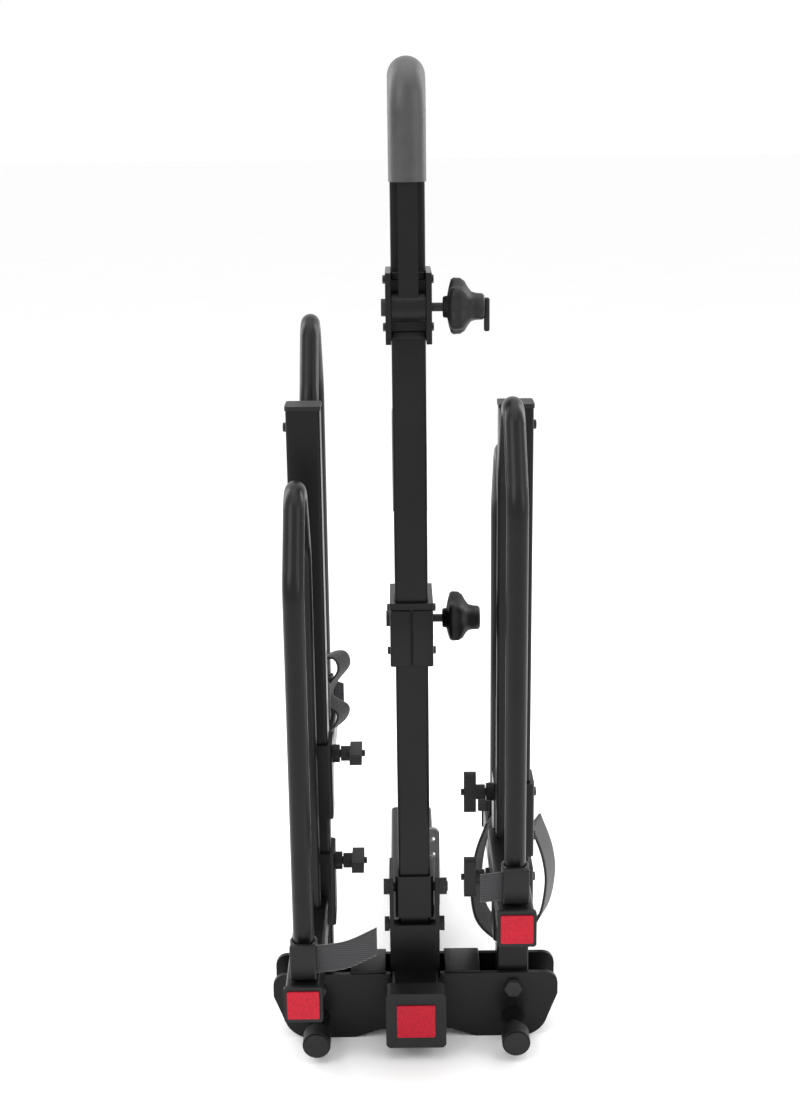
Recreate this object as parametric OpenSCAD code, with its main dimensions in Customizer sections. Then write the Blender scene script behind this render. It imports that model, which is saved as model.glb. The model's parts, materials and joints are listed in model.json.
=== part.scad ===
// Hitch mounted rack for two bikes, folded up for storage.
// +X is across the vehicle, +Y points to the vehicle, +Z is up.
// The origin is the centre of the hitch pin hole in the main beam.

/* [Main beam] */
// Width and height of the square beam, which fits a 2 inch receiver
beam_w = 50.8; // [48:0.1:51]
// Wall of the beam
beam_wall = 3; // [2.5:0.5:4]
// Length from the tail end of the end cap to the open stinger end
beam_len = 460; // [440:5:520]
// Distance from the stinger end to the hitch pin hole
pin_setback = 65; // [60:1:75]
// Radius of the hitch pin hole
pin_hole_r = 8.3; // [8:0.1:8.5]
// Width and height of the end cap
cap_w = 60; // [56:1:64]

/* [Wing plates] */
// Half of the span of the wing plates
wing_half = 145; // [140:1:160]
// Thickness of each wing plate
wing_t = 5; // [4:0.5:5]
// Distance from the centre line to each arm's pivot
pivot_x = 99.5; // [97:0.5:102]
// Height of the arm pivots above the underside of the end cap
pivot_z = 41; // [40:0.5:42]
// Height of the pull pins above the underside of the end cap
pull_pin_z = 6.5; // [6:0.5:8]

/* [Arms and mast] */
// Width of the square tube of the arms, the mast and the hoop feet
tube_w = 32; // [31:0.25:32.5]
// Wall of those tubes
tube_wall = 2.5; // [2:0.25:3]
// Height of the top of the arms above the underside of the end cap
arm_top = 640; // [620:5:660]
// Height of the top of the mast above the underside of the end cap
mast_top = 870; // [860:5:890]

/* [Wheel hoops] */
// Outer radius of the hoop tube
hoop_r = 9.5; // [9:0.5:10]
// Distance between the two legs of a hoop, centre to centre
hoop_gap = 128; // [120:2:130]
// Height of a hoop's straight legs above the axis of its foot
hoop_leg = 369; // [350:1:380]
// Inward lean of the upper part of a hoop
hoop_lean = 35; // [30:1:40]

/* [Hooks] */
// Radius of the foam grips
foam_r = 17; // [15:0.5:17]
// Height of the upper clamp's stud above the underside of the end cap
upper_z = 731; // [720:1:740]
// Height of the lower clamp's stud above the underside of the end cap
lower_z = 414; // [405:1:425]

/* [Hidden] */
$fn = 64;
EPS = 0.01;
RUN_FIT = 0.06;        // radial clearance of a pin that turns in a hole
WELD = 0.05;            // how much a weld bead at a bend stands proud of its bar
SLIDE_FIT = 0.4;       // clearance on each side of a tube that slides in a sleeve

axis_z = cap_w / 2;                    // height of the beam's axis above the end cap's underside
pin_y = beam_len - pin_setback;        // distance from the tail end to the hitch pin
cap_d = 22;
cap_face = 4;
reflector_t = 1.5;

// Places along Y, measured from the tail end of the end cap
wing_y = 45;                                  // tail side of the front wing plate
arm_y = wing_y + wing_t + 2 + tube_w / 2;     // middle of the arms
wing2_y = arm_y + tube_w / 2 + 2;             // tail side of the rear wing plate
mast_y = 80;                                  // middle of the mast
washer_t = 1.8;
pivot_r = 5;
pull_r = 6;
pull_travel = 15;
stop_r = 5.7;
stop_at = [132, pivot_z - tube_w / 2 - stop_r - 0.3];

sleeve_wall = 3.6;
sleeve_w = tube_w + 2 * (SLIDE_FIT + sleeve_wall);
sleeve_below = tube_w / 2;                    // the sleeve starts level with the underside of its foot
sleeve_h = 78;
knob_rise = 46;                               // from a foot's axis to its T-knob
foot_reach = 30;                              // from the outer leg to the end of the foot

// Each wheel holder: side of the rack, side of the arm, height of its foot, turn of its T-knob, and how far
// its foot stands to the right of its arm
NL = [-1, -1, 127, 90, -3];
NR = [1, -1, 200, 0, -10];
FL = [-1, 1, 243, 90, 0];
FR = [1, 1, 107, 0, 0];
near_leg_y = 28;                              // the near hoop's leg beside the arm
far_leg_y = 168;                              // the far hoop's leg beside the arm
R_SHOULDER = 40;
R_APEX = 28;

pivot_mast_z = 137;
seat_z = 95;
mast_foot = 84;
ear_in = 21.3;
ear_t = 4;

clamp_w = 42;
clamp_h = 64;
bar_w = 18;
hook_r = 8.6;                                 // round end of a hook's bar, inside the foam
barrel_r = 13;
hook_out = 35;                                // from the middle of the mast to a hook's stud
hook_rise = 172;                              // from the stud to the start of the hook's bend
foam_start = 111;                             // from the stud to the foot of the foam
R_HOOK = 30;
star_r = 27;

// ---- helpers ----

// From the frame of the tail end, with z = 0 under the end cap, to the frame of the hitch pin
module placed() translate([0, -pin_y, -axis_z]) children();

module mirrored_pair() {
    children();
    mirror([1, 0, 0]) children();
}

// Rectangle with rounded corners, centred
module rounded(w, h, r) {
    square([w - 2 * r, h], center = true);
    square([w, h - 2 * r], center = true);
    for (sx = [-1, 1], sy = [-1, 1])
        translate([sx * (w / 2 - r), sy * (h / 2 - r)]) circle(r);
}

// Square tube along +Z
module box_tube(w, wall, h, r = 3) {
    difference() {
        linear_extrude(h) rounded(w, w, r);
        translate([0, 0, -EPS]) linear_extrude(h + 2 * EPS)
            rounded(w - 2 * wall, w - 2 * wall, max(r - wall, 0.8));
    }
}

// Cylinder along +Y from y0 to y1
module rod_y(x, z, y0, y1, r) translate([x, y1, z]) rotate([90, 0, 0]) cylinder(h = y1 - y0, r = r);

// Cylinder along +X from x0 to x1
module rod_x(x0, x1, y, z, r) translate([x0, y, z]) rotate([0, 90, 0]) cylinder(h = x1 - x0, r = r);

// Hexagonal prism along +Y from y0 to y1
module hex_y(x, z, y0, y1, r)
    translate([x, y1, z]) rotate([90, 0, 0]) cylinder(h = y1 - y0, r = r, $fn = 6);

// Hexagonal prism along +X from x0 to x1
module hex_x(x0, x1, y, z, r)
    translate([x0, y, z]) rotate([0, 90, 0]) cylinder(h = x1 - x0, r = r, $fn = 6);

// Part of a ring that starts upwards and turns towards +X by a
module elbow(r, bend, a)
    translate([bend, 0, 0]) mirror([1, 0, 0]) rotate([90, 0, 0])
        rotate_extrude(angle = a) translate([bend, 0]) circle(r);

// Round bar along a list of [length, bend radius, bend angle], which starts upwards
module bent_bar(r, steps, i = 0) {
    if (i < len(steps)) {
        run = steps[i][0];
        bend = steps[i][1];
        a = steps[i][2];
        cylinder(h = run, r = r);
        if (a != 0) translate([0, 0, run]) sphere(r + WELD);
        translate([0, 0, run]) {
            if (a != 0) elbow(r, bend, a);
            translate([bend, 0, 0]) rotate([0, a, 0]) translate([-bend, 0, 0]) {
                if (a != 0) sphere(r + WELD);
                bent_bar(r, steps, i + 1);
            }
        }
    }
}

// ---- frame ----

module main_beam() color([0.10, 0.10, 0.11]) placed() difference() {
    translate([0, cap_face + 0.1, axis_z]) rotate([-90, 0, 0])
        box_tube(beam_w, beam_wall, beam_len - cap_face - 0.1, 5);
    rod_x(-beam_w, beam_w, pin_y, axis_z, pin_hole_r);
    translate([0, pin_y + 25, axis_z]) cylinder(h = beam_w, r = 6);
}

module beam_end_cap() color([0.07, 0.07, 0.075]) placed() difference() {
    translate([0, 0, axis_z]) rotate([-90, 0, 0]) linear_extrude(cap_d) rounded(cap_w, cap_w, 5);
    translate([0, cap_face, axis_z]) rotate([-90, 0, 0])
        linear_extrude(cap_d) rounded(beam_w + 0.2, beam_w + 0.2, 5);
}

module reflector(w, h, x, y, z)
    translate([x, y, z]) rotate([-90, 0, 0]) linear_extrude(reflector_t) rounded(w, h, 1.5);

module beam_reflector() color([0.75, 0.08, 0.12]) placed()
    reflector(38, 35, 0, -reflector_t, axis_z);

function arc(c, r, from, to, n) = [for (i = [0:n]) c + r * [cos(from + (to - from) * i / n),
    sin(from + (to - from) * i / n)]];

// Right half of a wing plate's outline, from the bottom to the top
function wing_half_outline(low, low_r, top, corner) =
    let (out = [wing_half, 33] - low, a = atan2(out[1], out[0]) - acos(low_r / norm(out)))
    concat([[36, -6], [62, low[1] - low_r]], arc(low, low_r, -90, a, 12),
           [[wing_half, 33]], arc([wing_half - corner, top - corner], corner, 0, 90, 6));

module wing_outline() {
    right = wing_half_outline([108, 12], 27, 57, 12);
    difference() {
        polygon(concat(right, [for (i = [len(right) - 1:-1:0]) [-right[i][0], right[i][1]]]));
        translate([-beam_w / 2 - RUN_FIT, axis_z - beam_w / 2 - RUN_FIT]) square([beam_w + 2 * RUN_FIT, 60]);
        for (x = [-pivot_x, pivot_x]) {
            translate([x, pivot_z]) circle(pivot_r + RUN_FIT);
            translate([x, pull_pin_z]) circle(pull_r + RUN_FIT);
        }
    }
}

module wing_plate(y) placed() translate([0, y + wing_t, 0]) rotate([90, 0, 0])
    linear_extrude(wing_t) wing_outline();

module front_wing_plate() color([0.12, 0.12, 0.13]) wing_plate(wing_y);
module rear_wing_plate() color([0.12, 0.12, 0.13]) wing_plate(wing2_y);

module arm_stop_bars() color([0.10, 0.10, 0.11]) placed() mirrored_pair()
    rod_y(stop_at[0], stop_at[1], wing_y + wing_t, wing2_y, stop_r);

module arm_pivot_bolts() color([0.2, 0.2, 0.21]) placed() mirrored_pair() {
    hex_y(pivot_x, pivot_z, wing_y - 6, wing_y, 9);
    rod_y(pivot_x, pivot_z, wing_y - EPS, wing2_y + wing_t + 10, pivot_r);
}

module arm_pivot_nuts() color([0.2, 0.2, 0.21]) placed() mirrored_pair() difference() {
    hex_y(pivot_x, pivot_z, wing2_y + wing_t, wing2_y + wing_t + 8, 9);
    rod_y(pivot_x, pivot_z, wing2_y, wing2_y + wing_t + 20, pivot_r + RUN_FIT);
}

module arm_pivot_washers() color([0.16, 0.16, 0.16]) placed() mirrored_pair()
    for (y = [wing_y + wing_t, wing2_y - washer_t]) difference() {
        rod_y(pivot_x, pivot_z, y, y + washer_t, 12);
        rod_y(pivot_x, pivot_z, y - 1, y + washer_t + 1, pivot_r + RUN_FIT);
    }

module pull_pin_sleeves() color([0.12, 0.12, 0.12]) placed() mirrored_pair() difference() {
    rod_y(pivot_x, pull_pin_z, wing_y - 14, wing_y, 12);
    rod_y(pivot_x, pull_pin_z, wing_y - 15, wing_y + 1, pull_r + RUN_FIT);
}

module pull_pin(side) color([0.06, 0.06, 0.065]) placed() {
    knob_y = wing_y - 14 - pull_travel - 22;
    x = side * pivot_x;
    rod_y(x, pull_pin_z, knob_y + 2, knob_y + 20, 14);
    rod_y(x, pull_pin_z, knob_y, knob_y + 2, 12.5);
    rod_y(x, pull_pin_z, knob_y + 20, knob_y + 22, 11);
    rod_y(x, pull_pin_z, knob_y + 22, wing_y + wing_t + 0.5, pull_r);
}

module left_pull_pin() pull_pin(-1);
module right_pull_pin() pull_pin(1);

// Upright ears and a low tail wall, welded on the beam, with open notches for the seat bolt
module mast_bracket() color([0.10, 0.10, 0.11]) placed() {
    base = axis_z + beam_w / 2;
    wall_y = mast_y - 23.5;
    difference() {
        union() {
            for (side = [-1, 1]) translate([side * (ear_in + ear_t / 2), mast_y, (base + 158) / 2])
                cube([ear_t, 47, 158 - base], center = true);
            translate([-ear_in, wall_y, base]) cube([2 * ear_in, 3.5, 105 - base]);
        }
        rod_x(-40, 40, mast_y, pivot_mast_z, pivot_r + RUN_FIT);
        rod_x(-40, 40, mast_y, seat_z, 6);
        translate([-40, mast_y, seat_z - 6]) cube([80, 40, 25]);
    }
}

module mast_pivot_bolt() color([0.2, 0.2, 0.21]) placed() {
    half = ear_in + ear_t;
    rod_x(-half, half + 9, mast_y, pivot_mast_z, pivot_r);
    hex_x(-half - 6, -half, mast_y, pivot_mast_z, 9);
    hex_x(half, half + 8, mast_y, pivot_mast_z, 9.5);
}

// Flat bar with two holes, welded to the right side of the beam
module rear_upright() color([0.3, 0.3, 0.31]) placed() difference() {
    translate([14, 196, 0]) union() {
        translate([0, 0, axis_z + beam_w / 2]) cube([15, 5, 92 - 8]);
        translate([7.5, 5, axis_z + beam_w / 2 + 92 - 8]) rotate([90, 0, 0]) cylinder(h = 5, r = 7.5);
    }
    rod_y(21.5, 134, 190, 210, 3);
    rod_y(21.5, 116, 190, 210, 3);
}

// Foot under the beam, which keeps it level on a floor
module rear_foot() color([0.07, 0.07, 0.075]) placed()
    translate([-20, 385, -15]) cube([40, 40, axis_z - beam_w / 2 + 15]);

// ---- mast ----

module mast_tube() color([0.10, 0.10, 0.11]) placed() difference() {
    translate([0, mast_y, mast_foot]) box_tube(tube_w, tube_wall, mast_top - mast_foot);
    rod_x(-40, 40, mast_y, pivot_mast_z, pivot_r + RUN_FIT);
    rod_x(-40, 40, mast_y, seat_z, pivot_r + RUN_FIT);
}

module mast_foot_sleeve() color([0.11, 0.11, 0.12]) placed() difference() {
    translate([0, mast_y, 112]) box_tube(tube_w + 6.4, 3.1, 45, 4);
    rod_x(-40, 40, mast_y, pivot_mast_z, pivot_r + RUN_FIT);
}

module mast_seat_bolt() color([0.2, 0.2, 0.21]) placed() {
    half = ear_in + ear_t + 0.5;
    rod_x(-half, half, mast_y, seat_z, pivot_r);
    hex_x(-half - 5, -half, mast_y, seat_z, 8.5);
    hex_x(half, half + 5, mast_y, seat_z, 8.5);
}

module mast_top_cap() color([0.06, 0.06, 0.065]) placed() {
    translate([0, mast_y, mast_top]) linear_extrude(4) rounded(tube_w, tube_w, 3);
    translate([0, mast_y, mast_top - 12])
        linear_extrude(12) rounded(tube_w - 2 * tube_wall - 0.2, tube_w - 2 * tube_wall - 0.2, 0.8);
}

// Sleeve on the mast with two ears that hold a hook, on the tail side for side = -1
module clamp(side, z) placed() translate([0, mast_y, z]) difference() {
    union() {
        translate([0, 0, -clamp_h / 2]) linear_extrude(clamp_h) rounded(clamp_w, clamp_w, 3);
        for (x = [-1, 1]) translate([x * (clamp_w / 2 - 2.5), side * 33, 0])
            cube([5, 34, clamp_h], center = true);
    }
    translate([0, 0, -clamp_h]) linear_extrude(2 * clamp_h)
        rounded(tube_w + 2 * SLIDE_FIT, tube_w + 2 * SLIDE_FIT, 3);
    rod_x(-40, 40, side * hook_out, 0, 4 + RUN_FIT);
}

// Barrel on the stud, and a bar that runs up and turns towards the vehicle
module hook_arm(side, z) placed() translate([0, mast_y + side * hook_out, z])
    rotate([0, 0, 90]) difference() {
        union() {
            rotate([90, 0, 0]) cylinder(h = 31, r = barrel_r, center = true);
            translate([-bar_w / 2, -bar_w / 2, 0]) cube([bar_w, bar_w, foam_start]);
            translate([0, 0, foam_start - 15])
                bent_bar(hook_r, [[hook_rise - foam_start + 15, R_HOOK, 90], [8, 0, 0]]);
        }
        rotate([90, 0, 0]) cylinder(h = 40, r = 4 + RUN_FIT, center = true);
    }

module foam_grip(side, z) placed() translate([0, mast_y + side * hook_out, z])
    rotate([0, 0, 90]) difference() {
        union() {
            translate([0, 0, foam_start])
                bent_bar(foam_r, [[hook_rise - foam_start, R_HOOK, 90], [10, 0, 0]]);
            translate([R_HOOK + 10, 0, hook_rise + R_HOOK]) sphere(foam_r);
        }
        translate([0, 0, foam_start - EPS])
            bent_bar(hook_r + 0.2, [[hook_rise - foam_start + EPS, R_HOOK, 90], [8.2, 0, 0]]);
    }

// Threaded stud through a clamp, with a round head on the left
module stud(side, z) placed() {
    y = mast_y + side * hook_out;
    rod_x(-clamp_w / 2 - 4, -clamp_w / 2, y, z, 8);
    rod_x(-clamp_w / 2 - EPS, clamp_w / 2 + 24, y, z, 4);
}

// Five-lobed knob that narrows to a hub, on the stud's right end
module star_knob(side, z) placed() translate([clamp_w / 2 + 10, mast_y + side * hook_out, z])
    rotate([0, 90, 0]) difference() {
        union() {
            cylinder(h = 5, r = 10);
            translate([0, 0, 4]) cylinder(h = 20, r = 17);
            for (i = [0:4]) rotate([0, 0, 72 * i + 25]) translate([star_r - 9, 0, 6]) cylinder(h = 15, r = 9);
            translate([0, 0, 20]) cylinder(h = 18, r = 12);
        }
        translate([0, 0, -1]) cylinder(h = 15.2, r = 4.02);
    }

module upper_clamp() color([0.09, 0.09, 0.1]) clamp(-1, upper_z);
module upper_hook_arm() color([0.12, 0.12, 0.13]) hook_arm(-1, upper_z);
module upper_foam_grip() color([0.22, 0.22, 0.23]) foam_grip(-1, upper_z);
module upper_stud() color([0.2, 0.2, 0.21]) stud(-1, upper_z);
module upper_star_knob() color([0.08, 0.08, 0.085]) star_knob(-1, upper_z);
module lower_clamp() color([0.09, 0.09, 0.1]) clamp(1, lower_z);
module lower_hook_arm() color([0.12, 0.12, 0.13]) hook_arm(1, lower_z);
module lower_foam_grip() color([0.22, 0.22, 0.23]) foam_grip(1, lower_z);
module lower_stud() color([0.2, 0.2, 0.21]) stud(1, lower_z);
module lower_star_knob() color([0.08, 0.08, 0.085]) star_knob(1, lower_z);

// ---- arms ----

module arm_tube(side) color([0.10, 0.10, 0.11]) placed() difference() {
    translate([side * pivot_x, arm_y, -5]) box_tube(tube_w, tube_wall, arm_top - 4 + 5);
    rod_y(side * pivot_x, pivot_z, 0, 200, pivot_r + RUN_FIT);
    rod_y(side * pivot_x, pull_pin_z, 0, 200, pull_r + 0.3);
}

module arm_cap(side) color([0.06, 0.06, 0.065]) placed() translate([side * pivot_x, arm_y, arm_top - 4]) {
    linear_extrude(4) rounded(tube_w + 1.5, tube_w + 1.5, 3);
    translate([0, 0, -12])
        linear_extrude(12) rounded(tube_w - 2 * tube_wall - 0.2, tube_w - 2 * tube_wall - 0.2, 0.8);
}

module left_arm_tube() arm_tube(-1);
module right_arm_tube() arm_tube(1);
module left_arm_cap() arm_cap(-1);
module right_arm_cap() arm_cap(1);

// ---- wheel holders ----

function foot_x(h) = h[0] * pivot_x + h[4];

// Y of a hoop's inner leg, its outer leg and its foot's end
function inner_leg(h) = h[1] < 0 ? near_leg_y : far_leg_y;
function outer_leg(h) = inner_leg(h) + h[1] * hoop_gap;
function foot_end(h) = outer_leg(h) + h[1] * foot_reach;
function foot_start(h) = arm_y + h[1] * sleeve_w / 2;

module sleeve(h) color([0.11, 0.11, 0.12]) placed() difference() {
    union() {
        translate([h[0] * pivot_x, arm_y, h[2] - sleeve_below]) linear_extrude(sleeve_h)
            rounded(sleeve_w, sleeve_w, 4);
        rod_x(h[0] > 0 ? pivot_x - sleeve_w / 2 - 7 : -pivot_x,
              h[0] > 0 ? pivot_x : -pivot_x + sleeve_w / 2 + 7, arm_y, h[2] + knob_rise, 9);
    }
    translate([h[0] * pivot_x, arm_y, h[2] - sleeve_below - 1]) linear_extrude(sleeve_h + 2)
        rounded(tube_w + 2 * SLIDE_FIT, tube_w + 2 * SLIDE_FIT, 3);
    rod_x(min(0, h[0] * pivot_x), max(0, h[0] * pivot_x), arm_y, h[2] + knob_rise, 4 + RUN_FIT);
}

// Square tube along Y that carries a hoop, welded to its sleeve
module foot(h) color([0.11, 0.11, 0.12]) placed() {
    y0 = min(foot_start(h), foot_end(h) - h[1] * cap_face);
    y1 = max(foot_start(h), foot_end(h) - h[1] * cap_face);
    translate([foot_x(h), y0, h[2]]) rotate([-90, 0, 0]) box_tube(tube_w, tube_wall, y1 - y0);
}

module foot_cap(h) color([0.06, 0.06, 0.065]) placed()
    translate([foot_x(h), foot_end(h), h[2]]) rotate([h[1] < 0 ? -90 : 90, 0, 0]) {
        linear_extrude(cap_face) rounded(tube_w + 3, tube_w + 3, 3);
        linear_extrude(cap_face + 10)
            rounded(tube_w - 2 * tube_wall - 0.2, tube_w - 2 * tube_wall - 0.2, 0.8);
    }

module foot_reflector(h) color([0.75, 0.08, 0.12]) placed()
    reflector(29, 27, foot_x(h), foot_end(h) - reflector_t, h[2]);

// Length of the leaning run, which makes the two halves meet in the middle
lean_run = (hoop_gap / 2 - R_SHOULDER * (1 - cos(hoop_lean)) - R_APEX * cos(hoop_lean)) / sin(hoop_lean);

function hoop_steps(low) = [
    [hoop_leg - low, R_SHOULDER, hoop_lean],
    [lean_run, R_APEX, 180 - 2 * hoop_lean],
    [lean_run, R_SHOULDER, hoop_lean],
    [hoop_leg - low, 0, 0]
];

// Bent bar with two straight legs, in the plane of the arm
module hoop(h) color([0.14, 0.14, 0.15]) placed()
    translate([foot_x(h), min(inner_leg(h), outer_leg(h)), h[2] + tube_w / 2]) rotate([0, 0, 90])
        bent_bar(hoop_r, hoop_steps(tube_w / 2));

// T-handle on a stud that clamps the sleeve to its arm
module t_knob(h) color([0.07, 0.07, 0.075]) placed()
    translate([h[0] * (pivot_x - tube_w / 2 - 0.4), arm_y, h[2] + knob_rise])
        rotate([h[3], 0, 0]) rotate([0, -h[0] * 90, 0]) {
            cylinder(h = 14, r = 4);
            translate([0, 0, 11.6]) cylinder(h = 9, r = 7.5);
            translate([0, 0, 20.6]) linear_extrude(12) rounded(42, 11, 4);
            translate([0, 0, 32.6]) cylinder(h = 3, r = 3.2);
        }

// Strap that wraps the outer leg just above the foot, with its tail to the inside
module wrap_strap(h, tail) color([0.09, 0.09, 0.1]) placed()
    translate([foot_x(h), outer_leg(h), h[2] + tube_w / 2 + 4]) {
        difference() {
            linear_extrude(30) rounded(2 * hoop_r + 6.5, 2 * hoop_r + 6.5, 8);
            translate([0, 0, -1]) cylinder(h = 40, r = hoop_r + 0.1);
        }
        translate([0, -hoop_r - 3.25, 0])
            mirror([h[0] > 0 ? 1 : 0, 0, 0]) cube([tail + 12, 3, 30]);
    }

module near_left_sleeve() sleeve(NL);
module near_left_foot() foot(NL);
module near_left_foot_cap() foot_cap(NL);
module near_left_reflector() foot_reflector(NL);
module near_left_hoop() hoop(NL);
module near_left_knob() t_knob(NL);
module near_left_strap() wrap_strap(NL, 55);
module near_right_sleeve() sleeve(NR);
module near_right_foot() foot(NR);
module near_right_foot_cap() foot_cap(NR);
module near_right_reflector() foot_reflector(NR);
module near_right_hoop() hoop(NR);
module near_right_knob() t_knob(NR);
module near_right_strap() wrap_strap(NR, 20);
module far_left_sleeve() sleeve(FL);
module far_left_foot() foot(FL);
module far_left_foot_cap() foot_cap(FL);
module far_left_hoop() hoop(FL);
module far_left_knob() t_knob(FL);
module far_left_strap() wrap_strap(FL, 40);
module far_right_sleeve() sleeve(FR);
module far_right_foot() foot(FR);
module far_right_foot_cap() foot_cap(FR);
module far_right_hoop() hoop(FR);
module far_right_knob() t_knob(FR);
module far_right_strap() wrap_strap(FR, 40);

main_beam();
beam_end_cap();
beam_reflector();
front_wing_plate();
rear_wing_plate();
arm_stop_bars();
arm_pivot_bolts();
arm_pivot_nuts();
arm_pivot_washers();
pull_pin_sleeves();
mast_bracket();
mast_pivot_bolt();
rear_upright();
rear_foot();
left_pull_pin();
right_pull_pin();
mast_tube();
mast_foot_sleeve();
mast_seat_bolt();
mast_top_cap();
upper_clamp();
upper_hook_arm();
upper_foam_grip();
upper_stud();
upper_star_knob();
lower_clamp();
lower_hook_arm();
lower_foam_grip();
lower_stud();
lower_star_knob();
left_arm_tube();
left_arm_cap();
right_arm_tube();
right_arm_cap();
near_left_sleeve();
near_left_foot();
near_left_foot_cap();
near_left_reflector();
near_left_hoop();
near_left_knob();
near_left_strap();
near_right_sleeve();
near_right_foot();
near_right_foot_cap();
near_right_reflector();
near_right_hoop();
near_right_knob();
near_right_strap();
far_left_sleeve();
far_left_foot();
far_left_foot_cap();
far_left_hoop();
far_left_knob();
far_left_strap();
far_right_sleeve();
far_right_foot();
far_right_foot_cap();
far_right_hoop();
far_right_knob();
far_right_strap();
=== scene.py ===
"""Looks, soft pieces, light and camera for the hitch mounted bike rack."""
import json
import math

import bmesh
import bpy
from mathutils import Matrix, Vector


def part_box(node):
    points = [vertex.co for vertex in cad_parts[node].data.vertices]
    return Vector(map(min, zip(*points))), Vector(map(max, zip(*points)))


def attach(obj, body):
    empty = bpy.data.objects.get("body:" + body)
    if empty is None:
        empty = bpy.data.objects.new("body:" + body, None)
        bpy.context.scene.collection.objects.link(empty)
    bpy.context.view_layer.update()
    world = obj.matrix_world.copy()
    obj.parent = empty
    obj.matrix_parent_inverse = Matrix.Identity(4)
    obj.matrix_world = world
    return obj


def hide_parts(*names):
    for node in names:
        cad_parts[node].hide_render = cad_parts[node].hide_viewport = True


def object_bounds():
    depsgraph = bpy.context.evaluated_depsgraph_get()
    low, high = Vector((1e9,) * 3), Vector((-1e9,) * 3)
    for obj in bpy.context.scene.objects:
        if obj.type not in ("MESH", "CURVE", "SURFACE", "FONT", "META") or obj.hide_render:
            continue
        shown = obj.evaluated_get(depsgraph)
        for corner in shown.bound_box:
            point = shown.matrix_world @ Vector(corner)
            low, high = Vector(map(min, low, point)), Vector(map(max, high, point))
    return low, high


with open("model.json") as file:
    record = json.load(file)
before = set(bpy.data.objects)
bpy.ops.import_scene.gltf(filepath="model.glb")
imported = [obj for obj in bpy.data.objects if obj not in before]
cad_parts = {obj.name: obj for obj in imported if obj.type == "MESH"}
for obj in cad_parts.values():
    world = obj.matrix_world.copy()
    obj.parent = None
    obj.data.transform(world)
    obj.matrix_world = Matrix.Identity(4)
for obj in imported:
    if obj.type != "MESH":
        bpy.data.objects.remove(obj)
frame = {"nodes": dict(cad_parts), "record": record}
nodes = frame["nodes"]
cad_bounds = [list(corner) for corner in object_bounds()]

MM = 0.001
CAMERA_PITCH = 74.7
CAMERA_ROLL = -0.7
CAMERA_AT = (-0.0105, -1.8095, 0.8629)
CAMERA_LENS = 51.43
HOLDERS = ("near_left", "near_right", "far_left", "far_right")
HARD_SLOTS = ("black_steel", "black_plastic", "grey_steel")

# Width and thickness of each other flat band
LADDER_BAND = (24 * MM, 2.4 * MM)
FOLD_BAND = (26 * MM, 1.8 * MM)
CRADLE_BAND = (34 * MM, 2.4 * MM)

# Webbing round a hoop's leg: its thickness, and how far round it goes in degrees
WRAP_THICKNESS = 2 * MM
WRAP_TURN = 310

# Size of each small block along X, Y and Z
BUCKLE = (24 * MM, 7 * MM, 34 * MM)
RATCHET = (30 * MM, 16 * MM, 44 * MM)
CLAMP_HALF = (20 * MM, 3.2 * MM, 56 * MM)
CLAMP_LIP = (31 * MM, 3 * MM, 7 * MM)
KEY_LEVER = (5 * MM, 9 * MM, 30 * MM)
BRIDGE_WIDTH = 36 * MM
BRIDGE_THICKNESS = 3.2 * MM

# Radius and height of each screw head
ARM_SCREW = (4.5 * MM, 4 * MM)
SLEEVE_SCREW = (5 * MM, 3.4 * MM)
CLAMP_SCREW = (4 * MM, 3 * MM)


# ---- materials ----

def new_material(name, color, roughness, metallic=0.0, coat=0.0, sheen=0.0):
    """A principled material, its node tree and its shader."""
    material = bpy.data.materials.new(name)
    material.use_nodes = True
    tree = material.node_tree
    shader = tree.nodes["Principled BSDF"]
    shader.inputs["Base Color"].default_value = (*color, 1)
    shader.inputs["Roughness"].default_value = roughness
    shader.inputs["Metallic"].default_value = metallic
    shader.inputs["Coat Weight"].default_value = coat
    shader.inputs["Sheen Weight"].default_value = sheen
    return material, tree, shader


def object_noise(tree, scale, detail=4.0):
    """Noise in object coordinates, with scale in cycles per metre."""
    coords = tree.nodes.new("ShaderNodeTexCoord")
    noise = tree.nodes.new("ShaderNodeTexNoise")
    noise.inputs["Scale"].default_value = scale
    noise.inputs["Detail"].default_value = detail
    tree.links.new(coords.outputs["Object"], noise.inputs["Vector"])
    return noise.outputs["Fac"]


def vary(tree, shader, fac, colors, roughness):
    """Lets fac mix two colours and move the roughness between two values."""
    ramp = tree.nodes.new("ShaderNodeValToRGB")
    ramp.color_ramp.elements[0].position = 0.3
    ramp.color_ramp.elements[1].position = 0.7
    ramp.color_ramp.elements[0].color = (*colors[0], 1)
    ramp.color_ramp.elements[1].color = (*colors[1], 1)
    tree.links.new(fac, ramp.inputs["Fac"])
    tree.links.new(ramp.outputs["Color"], shader.inputs["Base Color"])
    spread = tree.nodes.new("ShaderNodeMapRange")
    spread.inputs["To Min"].default_value = roughness[0]
    spread.inputs["To Max"].default_value = roughness[1]
    tree.links.new(fac, spread.inputs["Value"])
    tree.links.new(spread.outputs["Result"], shader.inputs["Roughness"])


def bump(tree, shader, height, strength, distance):
    node = tree.nodes.new("ShaderNodeBump")
    node.inputs["Strength"].default_value = strength
    node.inputs["Distance"].default_value = distance
    tree.links.new(height, node.inputs["Height"])
    tree.links.new(node.outputs["Normal"], shader.inputs["Normal"])


def coated_metal(name, dark, light, roughness):
    material, tree, shader = new_material(name, dark, roughness[0])
    vary(tree, shader, object_noise(tree, 14), (dark, light), roughness)
    shader.inputs["Specular IOR Level"].default_value = 0.22
    bump(tree, shader, object_noise(tree, 1400, 2), 0.25, 0.0002)
    return material


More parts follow.
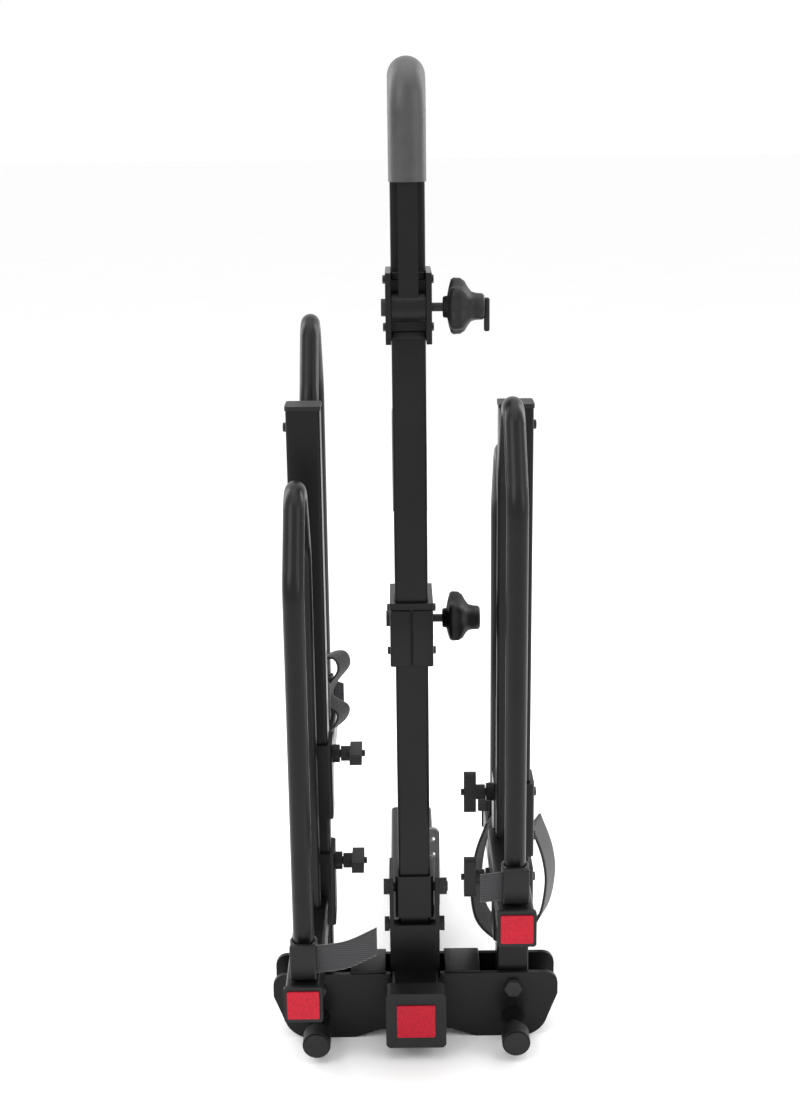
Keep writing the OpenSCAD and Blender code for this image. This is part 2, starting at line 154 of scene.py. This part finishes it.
def moulded_plastic(name, dark, light, roughness):
    material, tree, shader = new_material(name, dark, roughness[0])
    vary(tree, shader, object_noise(tree, 30), (dark, light), roughness)
    shader.inputs["Specular IOR Level"].default_value = 0.3
    bump(tree, shader, object_noise(tree, 900, 3), 0.35, 0.0003)
    return material


def foam_skin():
    material, tree, shader = new_material("foam", (0.03, 0.03, 0.032), 0.45, sheen=0.05)
    vary(tree, shader, object_noise(tree, 60), ((0.028,) * 3, (0.04, 0.04, 0.042)), (0.36, 0.48))
    bump(tree, shader, object_noise(tree, 1100, 5), 0.5, 0.0004)
    return material


def red_lens():
    material, tree, shader = new_material("reflector", (0.45, 0.008, 0.025), 0.28, coat=0.1)
    shader.inputs["Specular IOR Level"].default_value = 0.15
    coords = tree.nodes.new("ShaderNodeTexCoord")
    cells = tree.nodes.new("ShaderNodeTexVoronoi")
    cells.inputs["Scale"].default_value = 420
    tree.links.new(coords.outputs["Object"], cells.inputs["Vector"])
    vary(tree, shader, cells.outputs["Distance"], ((0.45, 0.006, 0.022), (0.36, 0.005, 0.018)), (0.3, 0.45))
    bump(tree, shader, cells.outputs["Distance"], 0.2, 0.0003)
    return material


def webbing():
    material, tree, shader = new_material("webbing", (0.018, 0.018, 0.02), 0.8, sheen=0.25)
    coords = tree.nodes.new("ShaderNodeTexCoord")
    weave = tree.nodes.new("ShaderNodeTexWave")
    weave.bands_direction = "Z"
    weave.inputs["Scale"].default_value = 160
    weave.inputs["Distortion"].default_value = 0.6
    tree.links.new(coords.outputs["Object"], weave.inputs["Vector"])
    vary(tree, shader, weave.outputs["Fac"], ((0.012, 0.012, 0.014), (0.03, 0.03, 0.033)), (0.7, 0.9))
    bump(tree, shader, weave.outputs["Fac"], 0.6, 0.0006)
    return material


MATERIALS = {
    "black_steel": coated_metal("black_steel", (0.003, 0.003, 0.0033), (0.006, 0.006, 0.0065), (0.26, 0.36)),
    "bolt_steel": coated_metal("bolt_steel", (0.018, 0.018, 0.019), (0.03, 0.03, 0.032), (0.28, 0.4)),
    "grey_steel": coated_metal("grey_steel", (0.17, 0.17, 0.175), (0.24, 0.24, 0.245), (0.35, 0.5)),
    "black_plastic": moulded_plastic("black_plastic", (0.004, 0.004, 0.0045), (0.008, 0.008, 0.0085),
                                     (0.42, 0.55)),
    "foam": foam_skin(),
    "reflector": red_lens(),
    "webbing": webbing(),
}
LADDER = moulded_plastic("ladder_plastic", (0.03, 0.03, 0.032), (0.045, 0.045, 0.047), (0.4, 0.5))


def finish_cad_nodes():
    """Gives each CAD node its slot's material, and rounds the edges of the hard ones."""
    slots = {row["node"]: row["material_slot"] for row in frame["record"]["subparts"]}
    for name, slot in slots.items():
        obj = nodes[name]
        obj.data.materials.clear()
        obj.data.materials.append(MATERIALS[slot])
        is_bent_bar = "hoop" in name or "hook" in name
        if slot in HARD_SLOTS and not is_bent_bar:
            bevel = obj.modifiers.new("edges", "BEVEL")
            bevel.width = 0.7 * MM
            bevel.segments = 2
            bevel.limit_method = "ANGLE"
            bevel.angle_limit = math.radians(40)
            bevel.harden_normals = True


# ---- pieces ----

def centre(node):
    low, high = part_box(node)
    return (Vector(low) + Vector(high)) / 2


def add_piece(name, mesh, material, body):
    obj = bpy.data.objects.new(name, mesh)
    bpy.context.scene.collection.objects.link(obj)
    mesh.materials.append(material)
    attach(obj, body)
    return obj


def smooth_path(points, steps=8):
    """Catmull-Rom curve through the points."""
    ends = [2 * points[0] - points[1]] + points + [2 * points[-1] - points[-2]]
    path = []
    for i in range(1, len(ends) - 2):
        a, b, c, d = ends[i - 1:i + 3]
        for k in range(steps):
            t = k / steps
            path.append(0.5 * (2 * b + (c - a) * t + (2 * a - 5 * b + 4 * c - d) * t * t
                               + (3 * b - a - 3 * c + d) * t ** 3))
    return path + [points[-1]]


def ribbon(name, points, across, width, thickness, body, replaced=None, material="webbing", holes=False):
    """Flat band along a curve, with its width along a fixed direction and, if asked, a row of slots."""
    path = smooth_path([Vector(p) for p in points])
    side = Vector(across).normalized() * width
    columns = (-0.5, -0.42, -0.2, 0.2, 0.42, 0.5)
    build = bmesh.new()
    rows = [[build.verts.new(p + side * c) for c in columns] for p in path]
    for i in range(len(rows) - 1):
        for j in range(len(columns) - 1):
            if holes and j == 2 and i % 3 == 1 and 0 < i < len(rows) - 2:
                continue
            build.faces.new((rows[i][j], rows[i][j + 1], rows[i + 1][j + 1], rows[i + 1][j]))
    mesh = bpy.data.meshes.new(name)
    bmesh.ops.recalc_face_normals(build, faces=build.faces)
    build.to_mesh(mesh)
    build.free()
    for face in mesh.polygons:
        face.use_smooth = not holes
    look = LADDER if material == "ladder" else MATERIALS[material]
    obj = add_piece(name, mesh, look, body)
    solid = obj.modifiers.new("thickness", "SOLIDIFY")
    solid.thickness = thickness
    solid.offset = 0
    if replaced:
        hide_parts(replaced)
    return obj


def block(name, at, size, body, radius, material="black_plastic"):
    """Box with rounded edges."""
    build = bmesh.new()
    bmesh.ops.create_cube(build, size=1)
    for vert in build.verts:
        vert.co = Vector(at) + Vector([vert.co[i] * size[i] for i in range(3)])
    bmesh.ops.bevel(build, geom=build.edges[:], offset=radius, segments=3, affect="EDGES", profile=0.5)
    mesh = bpy.data.meshes.new(name)
    build.to_mesh(mesh)
    build.free()
    for face in mesh.polygons:
        face.use_smooth = True
    return add_piece(name, mesh, MATERIALS[material], body)


def disc_x(name, at, radius, height, body, sides=32, material="bolt_steel"):
    """Round or hexagonal head with its axis along X."""
    build = bmesh.new()
    bmesh.ops.create_cone(build, cap_ends=True, segments=sides, radius1=radius, radius2=radius, depth=height)
    rims = [e for e in build.edges if abs(e.verts[0].co.z - e.verts[1].co.z) < 1e-9]
    bmesh.ops.bevel(build, geom=rims, offset=height * 0.2, segments=2, affect="EDGES", profile=0.5)
    for vert in build.verts:
        vert.co = Vector(at) + Vector((vert.co.z, vert.co.x, vert.co.y))
    mesh = bpy.data.meshes.new(name)
    build.to_mesh(mesh)
    build.free()
    return add_piece(name, mesh, MATERIALS[material], body)


def wrap_points(middle, radius, turn, start):
    """Points round a vertical leg, by angle from +X."""
    count = 12
    angles = [math.radians(start + turn * i / count) for i in range(count + 1)]
    return [middle + Vector((radius * math.cos(a), radius * math.sin(a), 0)) for a in angles]


def leg_point(holder, z):
    """Middle of a hoop's outer leg at a height above the underside of its foot."""
    low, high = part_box(holder + "_hoop")
    radius = (high[0] - low[0]) / 2
    y = low[1] + radius if holder.startswith("near") else high[1] - radius
    return Vector(((low[0] + high[0]) / 2, y, low[2] + z)), radius


def make_straps():
    """Webbing round each hoop's outer leg, with its tail to the inside."""
    far_tail = 24 * MM
    rises = {"near_left": 0.018, "near_right": -0.004, "far_left": -0.006, "far_right": 0.0}
    for holder in HOLDERS:
        low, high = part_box(holder + "_strap")
        middle, radius = leg_point(holder, 0)
        inward = 1 if holder.endswith("left") else -1
        tail = (high[0] - middle.x) if inward > 0 else (middle.x - low[0])
        if holder.startswith("far"):
            tail = min(tail, far_tail)
        middle.z = (low[2] + high[2]) / 2
        front = -(radius + 2.6 * MM)
        wrap = wrap_points(middle, radius + 1.9 * MM, WRAP_TURN * inward, -40 if inward > 0 else 220)
        end = middle + Vector((inward * tail, front, rises[holder]))
        half = middle + Vector((inward * tail * 0.55, front - 2 * MM, rises[holder] * 0.3))
        ribbon(holder + "_webbing", wrap + [half, end], (0, 0, 1), high[2] - low[2] - 3 * MM, WRAP_THICKNESS,
               holder + "_holder", holder + "_strap")
        block(holder + "_buckle", middle + Vector((0, front - 3.5 * MM, 0)), BUCKLE,
              holder + "_holder", 2 * MM)


def make_ladders():
    """Slotted plastic strap and its ratchet on the tail side of each far hoop's inner leg."""
    for holder in ("far_left", "far_right"):
        low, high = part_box(holder + "_hoop")
        x = (low[0] + high[0]) / 2
        y = low[1] - 3 * MM
        z = low[2]
        points = [(x, y + dy * MM, z + dz * MM)
                  for dy, dz in ((0, 30), (-2, 70), (-5, 115), (-3, 160), (-1, 190))]
        ribbon(holder + "_ladder", points, (1, 0, 0), *LADDER_BAND, holder + "_holder", material="ladder",
               holes=True)
        block(holder + "_ratchet", (x, y - 6 * MM, z + 55 * MM), RATCHET,
              holder + "_holder", 5 * MM)


def make_folded_strap():
    """Loose webbing of the far left holder, folded beside its hoop."""
    low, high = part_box("far_left_hoop")
    x = high[0]
    y = low[1] + 12 * MM
    z = low[2]
    lobes = ((-2, 10), (14, 24), (17, 38), (1, 50), (6, 66), (19, 84), (15, 98), (0, 96), (-3, 78))
    points = [(x + dx * MM, y, z + dz * MM) for dx, dz in lobes]
    ribbon("far_left_fold", points, (0.45, 0.89, 0), *FOLD_BAND, "far_left_holder")


def make_cradle():
    """Curved webbing that hangs in a loop round the far right holder's foot."""
    low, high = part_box("far_right_foot")
    x = (low[0] + high[0]) / 2 + 5 * MM
    y = low[1] + 50 * MM
    z = low[2]
    outline = ((-22, 95), (-33, 62), (-38, 20), (-30, -20), (0, -42), (30, -20), (40, 20), (37, 55), (24, 92))
    points = [(x + dx * MM, y, z + dz * MM) for dx, dz in outline]
    ribbon("far_right_cradle", points, (0.36, 0.93, 0), *CRADLE_BAND, "far_right_holder")


def make_star_knobs():
    """Smooth five-lobed knobs in place of the plain ones, each turned about its stud along X."""
    # Distance along the stud, mean radius and height of the lobes, in mm
    profile = ((0, 8, 0), (0.6, 9.5, 0), (4, 10, 0), (5.5, 17, 0.6), (7.5, 22.5, 2.6), (10, 23.8, 2.9),
               (16, 23.4, 2.9), (20, 21, 2.4), (23, 16.5, 1.4), (26, 13.2, 0.5), (30, 12.2, 0.2),
               (36, 11.8, 0), (37.6, 10, 0))
    count = 80
    for level in ("upper", "lower"):
        low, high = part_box(level + "_star_knob")
        stud = centre(level + "_stud")
        build = bmesh.new()
        rings = []
        for x, radius, lobe in profile:
            ring = []
            for i in range(count):
                a = math.tau * i / count
                r = (radius + lobe * math.cos(5 * a)) * MM
                y = stud.y + r * math.cos(a)
                z = stud.z + r * math.sin(a)
                ring.append(build.verts.new((low[0] + x * MM, y, z)))
            rings.append(ring)
        for one, two in zip(rings, rings[1:]):
            for i in range(count):
                j = (i + 1) % count
                build.faces.new((one[i], one[j], two[j], two[i]))
        build.faces.new(rings[0])
        build.faces.new(rings[-1])
        bmesh.ops.recalc_face_normals(build, faces=build.faces)
        mesh = bpy.data.meshes.new(level + "_lobed_knob")
        build.to_mesh(mesh)
        build.free()
        for face in mesh.polygons:
            face.use_smooth = len(face.vertices) == 4
        knob = add_piece(level + "_lobed_knob", mesh, MATERIALS["black_plastic"], level + "_knob")
        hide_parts(level + "_star_knob")


def make_screws():
    """Screw heads near the tops of the arms and on the sides of the sleeves and clamps."""
    for side, body in ((-1, "left_arm"), (1, "right_arm")):
        low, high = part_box(body + "_tube")
        edge = low[0] if side < 0 else high[0]
        at = (edge + side * 1.5 * MM, (low[1] + high[1]) / 2, high[2] - 18 * MM)
        disc_x(body + "_screw", at, *ARM_SCREW, body, sides=24)
    for holder in HOLDERS:
        low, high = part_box(holder + "_sleeve")
        side = -1 if holder.endswith("left") else 1
        edge = low[0] if side < 0 else high[0]
        for dz in (14, 62):
            at = (edge + side * 1.4 * MM, (low[1] + high[1]) / 2, low[2] + dz * MM)
            disc_x(f"{holder}_screw_{dz}", at, *SLEEVE_SCREW, holder + "_holder", sides=6)
    for level in ("upper", "lower"):
        low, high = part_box(level + "_clamp")
        y = centre("mast_tube").y
        for side, edge in ((-1, low[0]), (1, high[0])):
            for dz in (10, high[2] * 1000 - low[2] * 1000 - 10):
                at = (edge + side * 1.3 * MM, y, low[2] + dz * MM)
                name = f"{level}_clamp_screw_{side}_{int(dz)}"
                disc_x(name, at, *CLAMP_SCREW, level + "_clamp_set", sides=6)


def make_clamp_plates():
    """Two half plates on the face of the lower clamp, and a lip above and below the upper one."""
    low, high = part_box("lower_clamp")
    for side, word in ((-1, "left"), (1, "right")):
        at = (side * 10.6 * MM, low[1] - 1.4 * MM, (low[2] + high[2]) / 2 - 3 * MM)
        block("lower_clamp_half_" + word, at, CLAMP_HALF, "lower_clamp_set", 1.2 * MM,
              "black_steel")
    low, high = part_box("upper_clamp")
    for dz in (-1, 1):
        at = (0, centre("mast_tube").y - 22 * MM, (low[2] + high[2]) / 2 + dz * 27 * MM)
        block(f"upper_clamp_lip_{1 + dz}", at, CLAMP_LIP, "upper_clamp_set", 1 * MM,
              "black_steel")


def make_bridges():
    """Flat plate across the tops of the two wing plates, on each side."""
    low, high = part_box("front_wing_plate")
    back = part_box("rear_wing_plate")[1][1]
    for side, word in ((-1, "left"), (1, "right")):
        at = (side * 48 * MM, (low[1] + back) / 2, high[2] + 1.9 * MM)
        size = (BRIDGE_WIDTH, back - low[1], BRIDGE_THICKNESS)
        block(word + "_bridge", at, size, "beam", 1 * MM, "black_steel")


def make_key_lever():
    """Small lever at the outer end of the upper star knob."""
    low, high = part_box("upper_star_knob")
    at = (high[0] + 2 * MM, (low[1] + high[1]) / 2, (low[2] + high[2]) / 2 - 8 * MM)
    block("upper_key_lever", at, KEY_LEVER, "upper_knob", 1.5 * MM)


# ---- stage, light and camera ----

def make_stage():
    """Pale floor under the object, far wider than any view of it."""
    z = cad_bounds[0][2]
    half = 40.0
    build = bmesh.new()
    corners = ((-half, -half), (half, -half), (half, half), (-half, half))
    build.faces.new([build.verts.new((x, y, z)) for x, y in corners])
    mesh = bpy.data.meshes.new("floor")
    build.to_mesh(mesh)
    build.free()
    floor = bpy.data.objects.new("floor", mesh)
    bpy.context.scene.collection.objects.link(floor)
    material, tree, shader = new_material("floor", (0.98, 0.98, 0.98), 0.9)
    vary(tree, shader, object_noise(tree, 3), ((0.975,) * 3, (0.985,) * 3), (0.85, 0.95))
    mesh.materials.append(material)


def area_light(name, at, aim, size, power):
    data = bpy.data.lights.new(name, "AREA")
    data.shape = "RECTANGLE"
    data.size, data.size_y = size
    data.energy = power
    obj = bpy.data.objects.new(name, data)
    bpy.context.scene.collection.objects.link(obj)
    obj.location = at
    obj.rotation_euler = (Vector(aim) - Vector(at)).to_track_quat("-Z", "Y").to_euler()


def make_lights():
    aim = (0, -0.3, 0.4)
    area_light("key", (-1.6, -1.8, 2.2), aim, (1.4, 1.8), 26)
    area_light("fill", (1.9, -1.4, 1.5), aim, (1.2, 1.8), 16)
    area_light("top", (0, -0.2, 2.9), aim, (2.4, 2.4), 24)
    area_light("rim_left", (-1.5, 0.9, 1.4), aim, (0.6, 1.8), 16)
    area_light("rim_right", (1.5, 0.9, 1.4), aim, (0.6, 1.8), 16)
    world = bpy.data.worlds.new("studio")
    world.use_nodes = True
    world.node_tree.nodes["Background"].inputs["Color"].default_value = (1, 1, 1, 1)
    world.node_tree.nodes["Background"].inputs["Strength"].default_value = 1.0
    bpy.context.scene.world = world


def make_camera():
    data = bpy.data.cameras.new("camera")
    data.sensor_fit = "VERTICAL"
    data.sensor_height = 36
    data.lens = CAMERA_LENS
    obj = bpy.data.objects.new("camera", data)
    bpy.context.scene.collection.objects.link(obj)
    obj.location = CAMERA_AT
    roll = Matrix.Rotation(math.radians(CAMERA_ROLL), 3, "Z")
    obj.rotation_euler = (Matrix.Rotation(math.radians(CAMERA_PITCH), 3, "X") @ roll).to_euler()
    bpy.context.scene.camera = obj


bpy.context.scene.view_settings.view_transform = "Standard"
make_camera()
finish_cad_nodes()
make_straps()
make_ladders()
make_folded_strap()
make_cradle()
make_star_knobs()
make_screws()
make_clamp_plates()
make_bridges()
make_key_lever()
make_stage()
make_lights()
